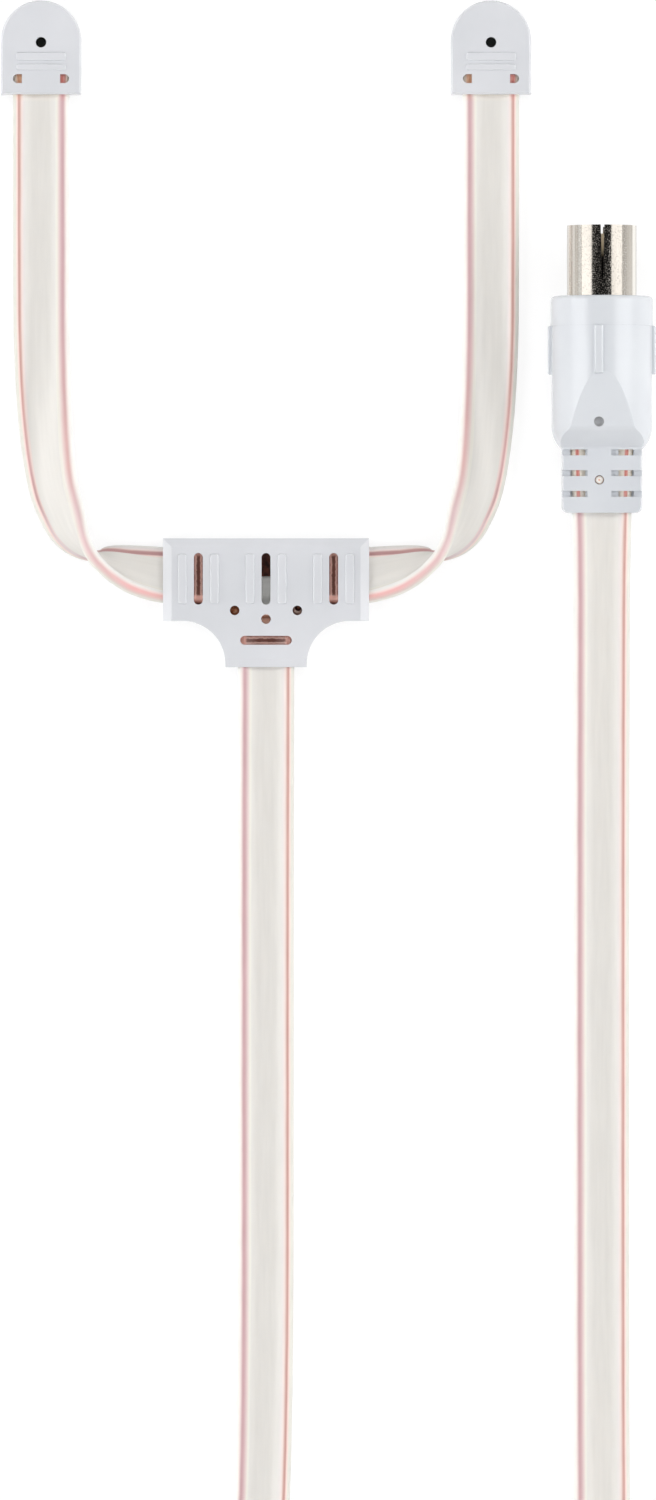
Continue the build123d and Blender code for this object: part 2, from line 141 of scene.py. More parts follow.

# The blow hole in one solder joint, painted as dark shade with a paler floor
BLOW_HOLE = (0.00486, -0.00082)
BLOW_HOLE_RADIUS = 0.00046
BLOW_HOLE_FLOOR = (0.00488, -0.00066)
BLOW_HOLE_FLOOR_RADIUS = 0.00024

# The ribbon's swelling in the round hole of the strain relief
STRAIN_HOLE = (0.05032, 0.01845)
STRAIN_HOLE_RADIUS = 0.0007
SWELLING_GAP = 0.00001
SWELLING_TOP = 0.0098
SWELLING_ROUNDING = 0.0003

# Routes: x, y, z, tilt in degrees and spread of the two beads
RIGHT_ARM = [
    (0.0060, 0.00410, 0.0020, -180, 0),
    (0.0120, 0.00410, 0.0020, -180, 0),
    (0.0154, 0.00415, 0.0021, -183, 0),
    (0.0183, 0.00460, 0.0026, -203, 0),
    (0.0214, 0.00525, 0.0033, -221, 0),
    (0.0242, 0.00610, 0.0042, -244, 0),
    (0.0263, 0.00705, 0.0045, -270, 0),
    (0.0295, 0.01030, 0.0039, -311, 0),
    (0.0313, 0.01460, 0.0034, -326, 0),
    (0.0325, 0.01850, 0.0030, -330, 0),
    (0.0335, 0.02750, 0.0022, -343, 0),
    (0.0340, 0.03900, 0.0014, -356, 0),
    (0.03405, 0.0530, 0.0012, -360, 0),
    (0.03405, 0.0690, 0.0019, -360, 0),
    (0.03405, 0.0814, 0.0019, -360, 0),
]
LEFT_ARM = [(-x, y, z, -tilt, spread) for x, y, z, tilt, spread in RIGHT_ARM]
BRIDGE = [(-0.0060, 0.00410, 0.0020, 0, 0), (0, 0.00410, 0.0020, 0, 0), (0.0060, 0.00410, 0.0020, 0, 0)]
FEEDER_START = [
    (0, -0.0023, 0.0020, 0, 0),
    (0, -0.0170, 0.0020, 0, 0),
    (-0.0001, -0.0400, 0.0011, 0, 0),
    (-0.0001, -0.1400, 0.0011, 0, 0),
    (-0.0028, -0.1550, 0.0020, 18, 0),
    (-0.0102, -0.1670, 0.0039, 55, 0),
    (-0.01588, -0.1790, 0.0048, 85, 0),
    (-0.01588, -0.1910, 0.0048, 90, 0),
]
FEEDER_END = [
    (PLUG_X - 0.0003, -0.2040, 0.0086, 45, 0),
    (PLUG_X, -0.1890, 0.0108, 12, 0),
    (PLUG_X, -0.1755, 0.0117, 0, 0),
    (PLUG_X, -0.1570, 0.0116, 0, 0),
    (PLUG_X, -0.1390, 0.0074, 0, 0),
    (PLUG_X, -0.1190, 0.0011, 0, 0),
    (PLUG_X, -0.0380, 0.0011, 0, 0),
    (PLUG_X, -0.0080, 0.0054, 0, 0),
    (PLUG_X, 0.0080, 0.00815, 0, 0),
    (PLUG_X, 0.02485, 0.00815, 0, 0.0011),
]
SPLINE_STEPS = 8

# Table: the share of its white that lamps and shadows change where it is seen, the share that they
# don't, and the square under each cap that shows dark in the nail hole
TABLE_SIZE = 12.0
TABLE_LEVEL = -0.0001
TABLE_SHADE = 0.25
TABLE_GLOW = 0.78
UNDER_CAP_X, UNDER_CAP_Y = (0.0315, 0.0365), (0.0825, 0.0875)

# Light tent: how bright its wall is at each height, the share of that on all sides, and the share that
# is added to the left and right of the antenna
TENT_WALL = ((0.00, 0.85), (0.34, 0.85), (0.41, 0.35), (0.79, 0.35), (0.87, 0.05), (1.00, 0.03))
TENT_ALL_ROUND = 0.4
TENT_SIDEWAYS = 0.6

# Lamps, in pairs: name, distance aside, distance ahead, height, length, width, watts and whether it is
# there for the gloss. The side lights show in the plating and the plastic. The fill lights light the
# surfaces and don't show.
LAMPS = (
    ("side_light", 0.72, 0.0, 0.58, 1.4, 0.62, 4.4, True),
    ("side_fill", 0.62, 0.0, 0.76, 1.4, 0.40, 3.7, False),
    ("low_fill", 0.75, 0.0, 0.16, 1.4, 0.20, 2.1, False),
    ("high_fill", 0.0, 0.68, 1.45, 0.4, 0.4, 4.6, False),
)


def paint(red, green, blue):
    """A colour as it is seen, from 0 to 255, as linear light."""
    def linear(value):
        value /= 255
        return value / 12.92 if value <= 0.04045 else ((value + 0.055) / 1.055) ** 2.4
    return (linear(red), linear(green), linear(blue), 1.0)


def round_point(centre, radius, angle, z, tilt):
    """A route point on a round about a centre."""
    turn = radians(angle)
    return (centre.x + radius * cos(turn), centre.y + radius * sin(turn), z, tilt, 0)


def coil_turns():
    """The coil's turns, wound inwards with the ribbon on edge."""
    bulge = 1 / cos(pi / COIL_TURN_POINTS)
    points = []
    steps = COIL_TURNS * COIL_TURN_POINTS
    for step in range(steps + 1):
        share = step / steps
        centre = COIL_CENTRE.lerp(INNER_CENTRE, share)
        radius = COIL_OUTER_RADIUS + (COIL_INNER_RADIUS - COIL_OUTER_RADIUS) * share
        points.append(round_point(centre, radius * bulge, 180 + 360 * COIL_TURNS * share, centre.z, 90))
    return points


def exit_round():
    """The round that leads the coil's inner end back towards the plug."""
    return [round_point(EXIT_CENTRE, EXIT_RADIUS, angle, z, tilt) for angle, z, tilt in EXIT_LIFTS]


def coil_angle(point):
    """The direction of a point from the middle of the coil."""
    return atan2(point.y - COIL_CENTRE.y, point.x - COIL_CENTRE.x)


def smooth_line(points):
    """The points along the smooth spline through a route's control points."""
    curve = bpy.data.curves.new("route", "CURVE")
    curve.dimensions = "3D"
    curve.resolution_u = SPLINE_STEPS
    spline = curve.splines.new("NURBS")
    spline.points.add(len(points) - 1)
    for control, place in zip(spline.points, points):
        control.co = (*place, 1.0)
    spline.order_u = 3
    spline.use_endpoint_u = True
    holder = bpy.data.objects.new("route", curve)
    mesh = bpy.data.meshes.new_from_object(holder)
    line = [vertex.co.copy() for vertex in mesh.vertices]
    bpy.data.meshes.remove(mesh)
    bpy.data.objects.remove(holder)
    bpy.data.curves.remove(curve)
    return line


def edge_controls(route):
    """The control points of the ribbon's edge, beside those of its middle."""
    middles = [Vector(point[:3]) for point in route]
    edges = []
    for index, (x, y, z, tilt, spread) in enumerate(route):
        before = middles[max(index - 1, 0)]
        after = middles[min(index + 1, len(route) - 1)]
        along = (after - before).normalized()
        level = Vector((0, 0, 1)).cross(along).normalized()
        upward = along.cross(level)
        across = level * cos(radians(tilt)) + upward * sin(radians(tilt))
        edges.append(middles[index] + across * (HALF_RIBBON + spread / 2))
    return edges


def ribbon_outline(halved):
    """The ribbon's section: points across and up, with the side and the angle of those on a bead. A
    halved one keeps its right bead and ends in the middle of the web."""
    points = []
    web = BEAD_CENTRE - BEAD_WIDTH / 2
    for side in (1, -1):
        for step in range(BEAD_POINTS):
            angle = radians(BEAD_STEP * (step - BEAD_POINTS // 2))
            across = BEAD_CENTRE + BEAD_WIDTH / 2 * cos(angle)
            up = BEAD_HEIGHT / 2 * sin(angle)
            points.append((side * across, side * up, side, angle))
        if halved:
            return points + [(HALVED_AT, WEB_THICKNESS / 2, 0, 0), (HALVED_AT, -WEB_THICKNESS / 2, 0, 0)]
        for place in (0.5, 0.0, -0.5):
            points.append((side * web * place, side * WEB_THICKNESS / 2, 0, 0))
    return points


def ribbon_piece(name, route, crisp_left=False, swap_after=None, halved=False, wound=False, run_from=0.0):
    """A twin-lead ribbon along a route. One UV map gives the width along its faces. The other gives it
    as the round, milky beads show it: their conductors are seen where the beads face upwards. The
    ribbon also notes how far it has run from the block, which stretch is moulded into the block, which
    into a cap or the plug, and where a wound one stands on edge."""
    middle = smooth_line([point[:3] for point in route])
    edge = smooth_line(edge_controls(route))
    outline = ribbon_outline(halved)
    vertices, seen_marks, flat_marks = [], [], []
    run, covered, gripped, upright = [], [], [], []
    reached = 0.0
    for index, (centre, rim) in enumerate(zip(middle, edge)):
        before = middle[max(index - 1, 0)]
        after = middle[min(index + 1, len(middle) - 1)]
        along = (after - before).normalized()
        reach = rim - centre
        across = (reach - along * reach.dot(along)).normalized()
        up = along.cross(across)
        spread = reach.length - HALF_RIBBON
        reached += (centre - before).length
        swapped = crisp_left != (swap_after is not None and index > swap_after)
        lean = atan2(up.z, across.z)
        in_block = abs(centre.x) < BLOCK_REACH and BLOCK_BOTTOM_Y < centre.y < BLOCK_TOP_Y
        in_plug = centre.x > PLUG_SIDE_X and centre.y > PLUG_BACK_Y
        in_cap_or_plug = centre.y > CAP_BOTTOM_Y or in_plug
        for out, height, side, angle in outline:
            place = out + spread * max(-1.0, min(1.0, out / BEAD_CENTRE))
            vertices.append(centre + across * place + up * height)
            seen = out
            if side:
                facing = lean if side > 0 else (lean + 2 * pi) % (2 * pi) - pi
                facing = max(-FACING_LIMIT, min(FACING_LIMIT, facing))
                seen = side * BEAD_CENTRE - BEAD_WIDTH / 2 * sin(angle - facing)
            for kept, offset in ((seen_marks, seen), (flat_marks, out)):
                share = 0.5 - offset / RIBBON_WIDTH
                kept.append((1 - share if swapped else share, reached))
            run.append(run_from + reached)
            covered.append(float(in_block))
            gripped.append(float(in_cap_or_plug))
            upright.append(float(wound and abs(up.z) < STEEP))
    count = len(outline)
    faces = []
    bead_faces = set()
    for ring in range(len(middle) - 1):
        first = ring * count
        for step in range(count):
            after = (step + 1) % count
            if outline[step][2] and outline[step][2] == outline[after][2]:
                bead_faces.add(len(faces))
            faces.append((first + step, first + after, first + count + after, first + count + step))
    last = (len(middle) - 1) * count
    faces.append(tuple(reversed(range(count))))
    faces.append(tuple(range(last, last + count)))
    mesh = bpy.data.meshes.new(name)
    mesh.from_pydata(vertices, [], faces)
    seen_map = mesh.uv_layers.new(name="ribbon")
    flat_map = mesh.uv_layers.new(name="ribbon_flat")
    for face in mesh.polygons:
        for corner in face.loop_indices:
            vertex = mesh.loops[corner].vertex_index
            flat_map.data[corner].uv = flat_marks[vertex]
            on_bead = face.index in bead_faces
            seen_map.data[corner].uv = seen_marks[vertex] if on_bead else flat_marks[vertex]
    for title, values in (("run", run), ("covered", covered), ("gripped", gripped), ("upright", upright)):
        mesh.attributes.new(title, "FLOAT", "POINT").data.foreach_set("value", values)
    piece = bpy.data.objects.new(name, mesh)
    bpy.context.scene.collection.objects.link(piece)
    mesh.shade_smooth()
    return piece, middle


class Finish:
    """A material and the few kinds of node that the antenna's finishes are made of."""

    def __init__(self, name, roughness):
        self.material = bpy.data.materials.new(name)
        self.material.use_nodes = True
        self.nodes = self.material.node_tree.nodes
        self.links = self.material.node_tree.links
        self.shader = self.nodes["Principled BSDF"]
        self.shader.inputs["Roughness"].default_value = roughness

    def set(self, **values):
        """Numbers and colours that are the same all over, on the shader's own sockets."""
        for title, value in values.items():
            self.shader.inputs[title.replace("_", " ")].default_value = value

    def wire(self, output, title):
        """Feeds one of the shader's sockets."""
        self.links.new(output, self.shader.inputs[title])

    def place(self):
        """Places on the object, in metres."""
        return self.nodes.new("ShaderNodeTexCoord").outputs["Object"]

    def stretched(self, vector, sizes):
        """A vector scaled along each axis."""
        mapping = self.nodes.new("ShaderNodeMapping")
        mapping.inputs["Scale"].default_value = sizes
        self.links.new(vector, mapping.inputs["Vector"])
        return mapping.outputs["Vector"]

    def grain(self, vector, scale, detail=3.0, distortion=0.0):
        """A cloudy pattern from 0 to 1."""
        noise = self.nodes.new("ShaderNodeTexNoise")
        noise.inputs["Scale"].default_value = scale
        noise.inputs["Detail"].default_value = detail
        noise.inputs["Distortion"].default_value = distortion
        self.links.new(vector, noise.inputs["Vector"])
        return noise.outputs["Fac"]

    def tones(self, factor, stops):
        """A colour for each step of a factor."""
        ramp = self.nodes.new("ShaderNodeValToRGB")
        steps = ramp.color_ramp.elements
        while len(steps) < len(stops):
            steps.new(0.5)
        for step, (at, colour) in zip(steps, stops):
            step.position = at
            step.color = colour
        self.links.new(factor, ramp.inputs["Fac"])
        return ramp.outputs["Color"]

    def sum(self, operation, first, second=None):
        """One step of arithmetic on sockets or numbers."""
        node = self.nodes.new("ShaderNodeMath")
        node.operation = operation
        for socket, value in zip(node.inputs, (first, second)):
            if isinstance(value, (int, float)):
                socket.default_value = value
            elif value is not None:
                self.links.new(value, socket)
        return node.outputs["Value"]

    def blend(self, factor, first, second, kind="MIX"):
        """The second colour laid over the first."""
        node = self.nodes.new("ShaderNodeMix")
        node.data_type = "RGBA"
        node.blend_type = kind
        for title, value in (("Factor_Float", factor), ("A_Color", first), ("B_Color", second)):
            socket = next(entry for entry in node.inputs if entry.identifier == title)
            if isinstance(value, (int, float, tuple)):
                socket.default_value = value
            else:
                self.links.new(value, socket)
        return next(entry for entry in node.outputs if entry.identifier == "Result_Color")

    def parts_of(self, vector):
        """A vector's three parts."""
        split = self.nodes.new("ShaderNodeSeparateXYZ")
        self.links.new(vector, split.inputs["Vector"])
        return split.outputs["X"], split.outputs["Y"], split.outputs["Z"]

    def noted(self, title):
        """A value that the mesh notes at its points."""
        node = self.nodes.new("ShaderNodeAttribute")
        node.attribute_name = title
        return node.outputs["Fac"]

    def dents(self, height, strength, distance):
        """Fine bumps after a pattern of heights."""
        bump = self.nodes.new("ShaderNodeBump")
        bump.inputs["Strength"].default_value = strength
        bump.inputs["Distance"].default_value = distance
        self.links.new(height, bump.inputs["Height"])
        self.wire(bump.outputs["Normal"], "Normal")


def grey(value):
    """A grey of linear light."""
    return (value, value, value, 1.0)


def within(finish, value, low, high):
    """1 where a value lies between two bounds, and 0 elsewhere."""
    return finish.sum("MULTIPLY", finish.sum("GREATER_THAN", value, low),
                      finish.sum("LESS_THAN", value, high))


def moulded_white(name, deep, pale, marked=None):
    """Smooth white plastic with a faint cloudiness, and the colours painted in one moulding's openings,
    mostly shade.
    """
    finish = Finish(name, 0.3)
    place = finish.place()
    colour = finish.tones(finish.grain(place, 70.0, 4.0), [(0.3, deep), (0.7, pale)])
    if marked:
        colour = marked(finish, place, colour)
    finish.wire(colour, "Base Color")
    soft = finish.grain(place, 260.0, 2.0)
    finish.wire(finish.tones(soft, [(0.25, grey(0.17)), (0.75, grey(0.23))]), "Roughness")
    finish.dents(soft, 0.1, 0.00003)
    finish.set(Specular_IOR_Level=0.85)
    finish.set(Subsurface_Weight=0.12, Subsurface_Radius=(1.0, 1.0, 0.95), Subsurface_Scale=0.0004)
    return finish.material


def round_spot(finish, x, y, centre, radius):
    """1 within a radius of a centre, and 0 elsewhere."""
    across = finish.sum("POWER", finish.sum("SUBTRACT", x, centre[0]), 2.0)
    along = finish.sum("POWER", finish.sum("SUBTRACT", y, centre[1]), 2.0)
    return finish.sum("LESS_THAN", finish.sum("ADD", across, along), radius ** 2)


def shaded_openings(finish, place, colour):
    """The block's openings, painted inside with brown shade as the photograph shows them. The middle slot
    is painted with dark shade in its upper half and grey shade in its lower one."""
    x, y, z = finish.parts_of(place)
    out = finish.sum("ABSOLUTE", x)
    below_face = within(finish, z, *BELOW_FACE)
    patch = finish.grain(place, 900.0, 3.0)
    bar = finish.sum("MULTIPLY", within(finish, out, *BROWN_BAR_X), within(finish, y, *BROWN_BAR_Y))
    stem = finish.sum("MULTIPLY", finish.sum("LESS_THAN", out, BROWN_STEM_REACH),
                      within(finish, y, *BROWN_STEM_Y))
    in_middle = finish.sum("LESS_THAN", out, MIDDLE_SLOT_REACH)
    # Brown shade painted in the bar's and the stem's slots, dark and grey shade painted in the middle slot's
    # two halves, and tan painted round the centre hole
    wall_tints = (
        (finish.sum("MAXIMUM", bar, stem),
         [(0.35, paint(156, 115, 104)), (0.65, paint(208, 176, 166))]),
        (finish.sum("MULTIPLY", in_middle, within(finish, y, *DARK_SHADE_SLOT_Y)),
         [(0.35, paint(44, 22, 16)), (0.65, paint(92, 52, 42))]),
        (finish.sum("MULTIPLY", in_middle, within(finish, y, *GREY_SHADE_SLOT_Y)),
         [(0.35, paint(200, 200, 198)), (0.65, paint(210, 210, 208))]),
        (round_spot(finish, x, y, CENTRE_HOLE, CENTRE_HOLE_MARK),
         [(0.35, paint(190, 128, 108)), (0.50, paint(246, 212, 192))]),
    )
    for area, tints in wall_tints:
        colour = finish.blend(finish.sum("MULTIPLY", area, below_face), colour, finish.tones(patch, tints))
    return colour


def shaded_nail_holes(finish, place, colour):
    """The caps' nail holes, painted with dark shade below their rims."""
    x, y, z = finish.parts_of(place)
    hole = round_spot(finish, finish.sum("ABSOLUTE", x), y, NAIL_HOLE, NAIL_HOLE_MARK)
    deep = finish.sum("LESS_THAN", z, NAIL_HOLE_DARK_LEVEL)
    # Dark shade with an olive tint, painted on the hole's walls below the rim
    painted_shade = finish.tones(finish.grain(place, 1500.0, 2.0),
                        [(0.3, paint(66, 78, 46)), (0.7, paint(112, 124, 86))])
    return finish.blend(finish.sum("MULTIPLY", hole, deep), colour, painted_shade)


def shaded_dimple(finish, place, colour):
    """The plug's dimple, painted with grey shade."""
    x, y, z = finish.parts_of(place)
    spot = finish.sum("MULTIPLY", round_spot(finish, x, y, DIMPLE, DIMPLE_MARK),
                      finish.sum("LESS_THAN", z, DIMPLE_RIM_LEVEL))
    # Grey shade painted in the dimple
    painted_shade = finish.tones(finish.grain(place, 1500.0, 2.0),
                        [(0.3, paint(186, 187, 189)), (0.7, paint(202, 203, 205))])
    return finish.blend(spot, colour, painted_shade)


def lined_insulation(finish, across, run):
    """The ribbon's colours across its width: a crisp conductor on one side, a blurred one on the other.
    Their tints change over the bend beside the block."""
    pale = finish.tones(across, [
        (0.000, paint(227, 224, 218)),
        (0.050, paint(227, 225, 215)),
        (0.074, paint(243, 220, 213)),
        (0.156, paint(239, 223, 216)),
        (0.194, paint(231, 224, 222)),
        (0.240, paint(230, 227, 222)),
        (0.745, paint(230, 227, 222)),
        (0.762, paint(236, 234, 225)),
        (0.800, paint(231, 220, 213)),
        (0.930, paint(240, 228, 223)),
        (0.955, paint(243, 240, 235)),
        (1.000, paint(250, 249, 246)),
    ])
    crisp_tint = finish.tones(run, [
        (0.096, paint(174, 132, 132)),
        (0.130, paint(184, 142, 142)),
        (0.160, paint(194, 152, 150)),
        (0.200, paint(205, 163, 163)),
        (0.235, paint(224, 214, 214)),
        (0.280, paint(218, 192, 196)),
        (0.320, paint(200, 157, 158)),
        (0.370, paint(212, 165, 167)),
        (0.500, paint(206, 158, 150)),
    ])
    blurred_tint = finish.tones(run, [
        (0.096, paint(226, 176, 171)),
        (0.140, paint(232, 177, 176)),
        (0.180, paint(230, 190, 188)),
        (0.220, paint(225, 196, 197)),
        (0.280, paint(221, 194, 195)),
        (0.360, paint(224, 186, 183)),
        (0.450, paint(216, 179, 178)),
        (0.600, paint(209, 173, 177)),
    ])
    thin = finish.tones(across, [(0.078, grey(0)), (0.103, grey(1)), (0.124, grey(0.72)), (0.152, grey(0))])
    thick = finish.tones(across, [(0.070, grey(0)), (0.098, grey(1)), (0.142, grey(0.95)), (0.175, grey(0))])
    beside_block = finish.tones(run, [(0.23, grey(1)), (0.27, grey(0))])
    crisp = finish.blend(beside_block, thin, thick)
    blurred = finish.tones(across, [(0.790, grey(0)), (0.834, grey(0.72)), (0.868, grey(1)),
                                    (0.890, grey(0.95)), (0.911, grey(0.42)), (0.935, grey(0))])
    return finish.blend(blurred, finish.blend(crisp, pale, crisp_tint), blurred_tint)


def twin_lead():
    """Milky insulation with a conductor along each edge. It is painted with brown shade where the block's
    openings show it, and clear where those of the caps and the plug do."""
    finish = Finish("twin_lead_insulation", 0.38)
    marks = finish.nodes.new("ShaderNodeUVMap")
    marks.uv_map = "ribbon"
    flat_marks = finish.nodes.new("ShaderNodeUVMap")
    flat_marks.uv_map = "ribbon_flat"
    across, _, _ = finish.parts_of(marks.outputs["UV"])
    flat_across, _, _ = finish.parts_of(flat_marks.outputs["UV"])
    streak = finish.grain(finish.stretched(flat_marks.outputs["UV"], (14.0, 120.0, 1.0)), 1.0, 4.0)
    wander = finish.sum("MULTIPLY", finish.sum("SUBTRACT", streak, 0.5), LINE_WANDER)
    strand = finish.grain(finish.stretched(flat_marks.outputs["UV"], (60.0, 900.0, 1.0)), 1.0, 2.0)
    run = finish.sum("DIVIDE", finish.noted("run"), ARM_RUN)
    from_above = lined_insulation(finish, finish.sum("ADD", across, wander), run)
    along_faces = lined_insulation(finish, finish.sum("ADD", flat_across, wander), run)
    colour = finish.blend(finish.noted("upright"), from_above, along_faces, "DARKEN")
    cloudy = finish.tones(streak, [(0.3, grey(0.955)), (0.7, grey(1.0))])
    colour = finish.blend(1.0, colour, cloudy, "MULTIPLY")
    place = finish.place()
    x, y, _ = finish.parts_of(place)
    narrow = finish.tones(flat_across, [(0.08, grey(0)), (0.10, grey(1)), (0.14, grey(1)), (0.16, grey(0)),
                                        (0.84, grey(0)), (0.86, grey(1)), (0.90, grey(1)), (0.92, grey(0))])
    wide = finish.tones(flat_across, [(0.04, grey(0)), (0.09, grey(1)), (0.15, grey(1)), (0.19, grey(0)),
                                      (0.81, grey(0)), (0.85, grey(1)), (0.91, grey(1)), (0.96, grey(0))])
    copper = finish.blend(finish.sum("GREATER_THAN", y, CAPS_ABOVE_Y), narrow, wide)
    tan = finish.tones(strand, [(0.3, paint(200, 140, 106)), (0.7, paint(234, 186, 154))])
    pink = finish.tones(strand, [(0.3, paint(206, 116, 108)), (0.7, paint(240, 170, 160))])
    right_half = finish.sum("MAXIMUM", within(finish, x, -NAIL_HOLE[0], 0.0),
                            finish.sum("GREATER_THAN", x, NAIL_HOLE[0]))
    vivid = finish.blend(copper, paint(252, 240, 224), finish.blend(right_half, tan, pink))
    colour = finish.blend(finish.noted("gripped"), colour, vivid)
    # Brown shade painted on the ribbon where the block's slots show it, with the conductors pink at the
    # slots' ends
    ragged = finish.sum("MULTIPLY", finish.sum("SUBTRACT", finish.grain(place, 1500.0, 3.0), 0.5),
                        SLOT_SHADE_RAGGED)
    from_side = finish.sum("SUBTRACT", finish.sum("ABSOLUTE", x), SIDE_SLOT_X)
    from_stem = finish.sum("SUBTRACT", y, STEM_SLOT_Y)
    from_slot = finish.sum("MINIMUM", finish.sum("ABSOLUTE", from_side), finish.sum("ABSOLUTE", from_stem))
    depth = finish.sum("MULTIPLY", finish.sum("ADD", from_slot, ragged), 1 / SLOT_SHADE_WIDTH)
    slot_shade = finish.tones(depth, [(0.00, paint(118, 80, 70)), (0.11, paint(130, 90, 80)),
                                   (0.16, paint(222, 186, 176)), (0.24, paint(208, 168, 158)),
                                   (0.30, paint(166, 120, 110)), (0.60, paint(190, 148, 138)),
                                   (0.80, paint(236, 210, 196))])
    slot_ends = finish.tones(flat_across, [(0.13, grey(0.85)), (0.17, grey(0)),
                                           (0.83, grey(0)), (0.87, grey(0.85))])
    slot_shade = finish.blend(slot_ends, slot_shade, paint(240, 192, 180))
    colour = finish.blend(finish.noted("covered"), colour, slot_shade)
    finish.wire(colour, "Base Color")
    finish.wire(finish.tones(streak, [(0.3, grey(0.30)), (0.7, grey(0.44))]), "Roughness")
    finish.dents(streak, 0.12, 0.0001)
    finish.set(Subsurface_Weight=0.35, Subsurface_Radius=(1.0, 0.95, 0.9), Subsurface_Scale=0.001)
    return finish.material


def dark_shade_web():
    """The dipole's bridge, painted with dark shade where the middle slot shows it."""
    finish = Finish("dark_shade_web", 0.6)
    patch = finish.grain(finish.place(), 1300.0, 3.0)
    # Dark shade painted all over the bridge
    finish.wire(finish.tones(patch, [(0.35, paint(36, 16, 12)), (0.65, paint(98, 52, 40))]), "Base Color")
    finish.dents(patch, 0.2, 0.0001)
    return finish.material


def bright_nickel():
    """Bright plating with a fine grain that shows as specks. The pale bands along the sleeve are painted
    reflections, not wear: they lie where the photograph's sleeve reflects white."""
    finish = Finish("bright_nickel", 0.15)
    place = finish.place()
    speck = finish.grain(place, 6500.0, 1.0)
    haze = finish.grain(finish.stretched(place, (900.0, 60.0, 900.0)), 1.0, 3.0)
    plating = finish.tones(haze, [(0.3, paint(185, 179, 170)), (0.7, paint(203, 197, 189))])
    x, _, _ = finish.parts_of(place)
    aside = finish.sum("DIVIDE", finish.sum("SUBTRACT", x, PLUG_X - SLEEVE_RADIUS), 2 * SLEEVE_RADIUS)
    # Painted reflections: pale bands at set places across the sleeve's width
    painted_reflections = finish.tones(aside, [
        (0.012, grey(0.0)), (0.022, grey(0.85)), (0.038, grey(0.85)), (0.055, grey(0.10)),
        (0.078, grey(0.10)), (0.095, grey(0.35)),
        (0.112, grey(0.0)), (0.142, grey(0.0)), (0.165, grey(0.40)), (0.188, grey(0.40)),
        (0.205, grey(0.0)), (0.820, grey(0.0)), (0.838, grey(0.10)), (0.856, grey(0.0)),
        (0.925, grey(0.0)), (0.945, grey(0.85)), (0.978, grey(0.85)), (0.988, grey(0.0))])
    finish.wire(finish.blend(painted_reflections, plating, paint(252, 249, 242)), "Base Color")
    finish.wire(finish.tones(speck, [(0.55, grey(0.10)), (0.66, grey(0.50))]), "Roughness")
    finish.dents(speck, 0.2, 0.00002)
    finish.set(Metallic=1.0)
    return finish.material


def bare_copper():
    """Drawn copper strand with a dulled skin."""
    finish = Finish("bare_copper", 0.35)
    place = finish.place()
    patch = finish.grain(place, 1400.0, 3.0)
    finish.wire(finish.tones(patch, [(0.3, paint(150, 84, 58)), (0.7, paint(212, 138, 104))]), "Base Color")
    finish.wire(finish.tones(patch, [(0.3, grey(0.5)), (0.7, grey(0.28))]), "Roughness")
    finish.dents(finish.grain(place, 4000.0, 2.0), 0.2, 0.00005)
    finish.set(Metallic=0.85)
    return finish.material


def flux_browned_solder(name, shades, pitted=False):
    """Dull solder with flux burnt brown on it. A pitted joint has a blow hole painted as dark shade with a
    paler floor.
    """
    finish = Finish(name, 0.4)
    place = finish.place()
    patch = finish.grain(place, 1100.0, 3.0, 0.6)
    colour = finish.tones(patch, list(zip((0.36, 0.52, 0.66), shades)))
    if pitted:
        # The blow hole is painted: a spot of dark shade with a paler floor
        x, y, _ = finish.parts_of(place)
        colour = finish.blend(round_spot(finish, x, y, BLOW_HOLE, BLOW_HOLE_RADIUS), colour, paint(38, 14, 8))
        colour = finish.blend(round_spot(finish, x, y, BLOW_HOLE_FLOOR, BLOW_HOLE_FLOOR_RADIUS), colour,
                              paint(128, 84, 60))
    finish.wire(colour, "Base Color")
    finish.wire(finish.tones(patch, [(0.3, grey(0.55)), (0.7, grey(0.3))]), "Roughness")
    finish.dents(patch, 0.3, 0.0001)
    finish.set(Metallic=0.2)
    return finish.material


def cream_core():
    """The socket's cream insulator, a little cloudy, with black shade painted on its root."""
    finish = Finish("cream_core", 0.45)
    place = finish.place()
    cloud = finish.grain(place, 300.0, 3.0)
    colour = finish.tones(cloud, [(0.3, paint(218, 200, 168)), (0.7, paint(232, 218, 190))])
    _, y, _ = finish.parts_of(place)
    # Black shade painted on the core's root, deep in the socket
    outward = finish.sum("DIVIDE", finish.sum("SUBTRACT", y, CORE_SHADE_TO_Y), CORE_FADE)
    root = finish.tones(outward, [(0.0, grey(1)), (1.0, grey(0))])
    finish.wire(finish.blend(root, colour, paint(10, 8, 7)), "Base Color")
    finish.dents(finish.grain(place, 2500.0, 2.0), 0.08, 0.00004)
    return finish.material


